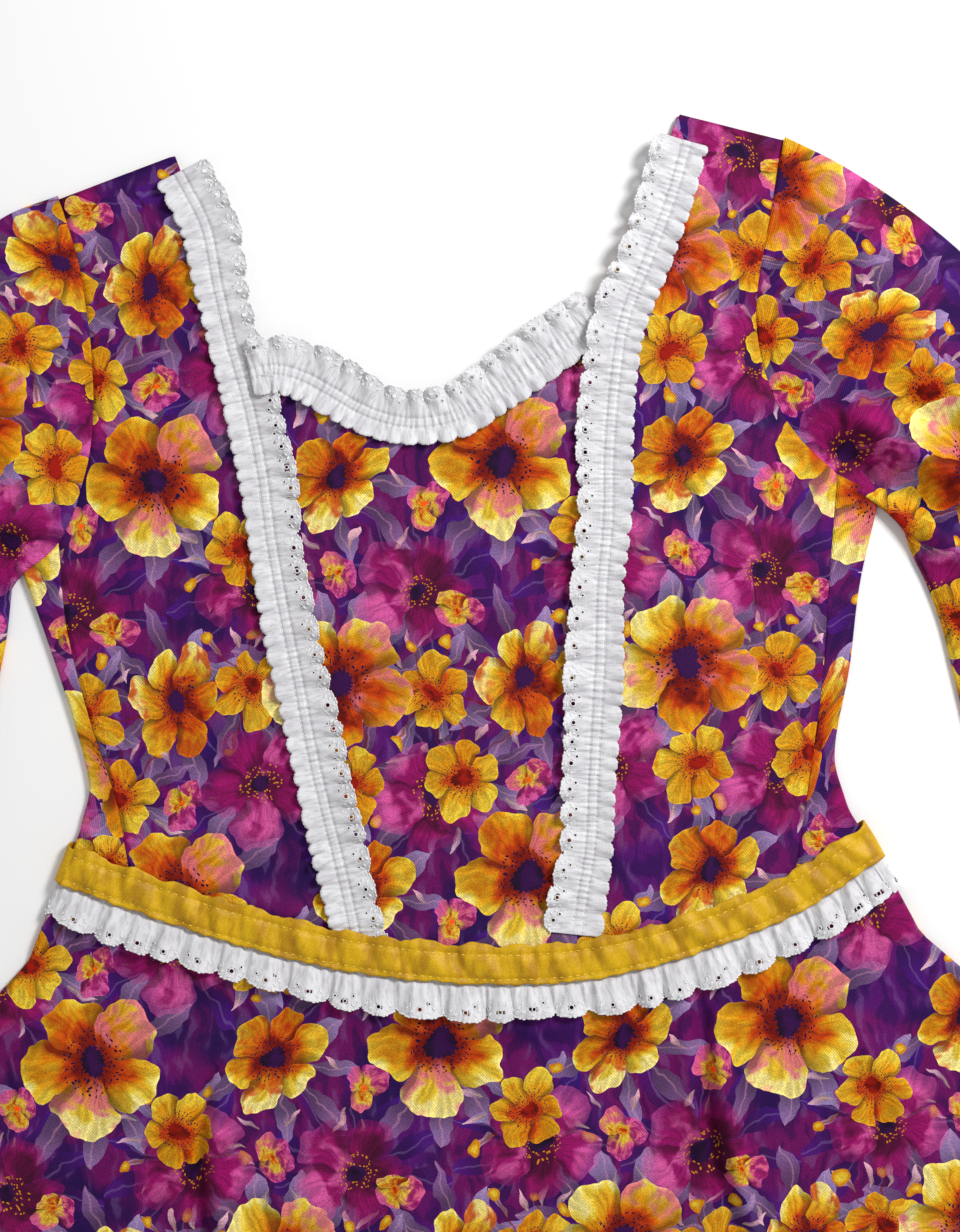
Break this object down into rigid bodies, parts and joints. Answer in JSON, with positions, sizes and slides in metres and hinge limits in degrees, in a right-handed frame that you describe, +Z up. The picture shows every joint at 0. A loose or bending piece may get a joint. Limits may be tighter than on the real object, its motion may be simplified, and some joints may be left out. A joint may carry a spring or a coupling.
{
  "type": "huasa dress",
  "caption": "Folk dress lying flat, front up: fitted scoop-neck bodice, set-in sleeves, flared skirt, gathered eyelet lace trims and a waist tape over a lace frill",
  "frame": {"origin": "on the surface the dress lies on, under the middle of its bounding box", "axes": "X across the dress with its left sleeve as seen from above at -X, Y from the hem up to the neck, Z up from the surface"},
  "size_m": [0.8574, 0.718, 0.0105],
  "materials": {
    "printed_cotton": null,
    "eyelet_lace": "white cotton eyelet lace, matte",
    "waist_tape": "mustard satin-weave tape, soft sheen"
  },
  "bodies": {
    "root": {"bodice_front": "printed_cotton", "bodice_back": "printed_cotton", "sleeve_left": "printed_cotton", "sleeve_right": "printed_cotton", "skirt_front": "printed_cotton", "skirt_back": "printed_cotton", "waistband": "waist_tape", "waist_frill": "eyelet_lace", "lace_strip_left": "eyelet_lace", "lace_strip_right": "eyelet_lace", "neck_lace": "eyelet_lace"}
  },
  "joints": []
}
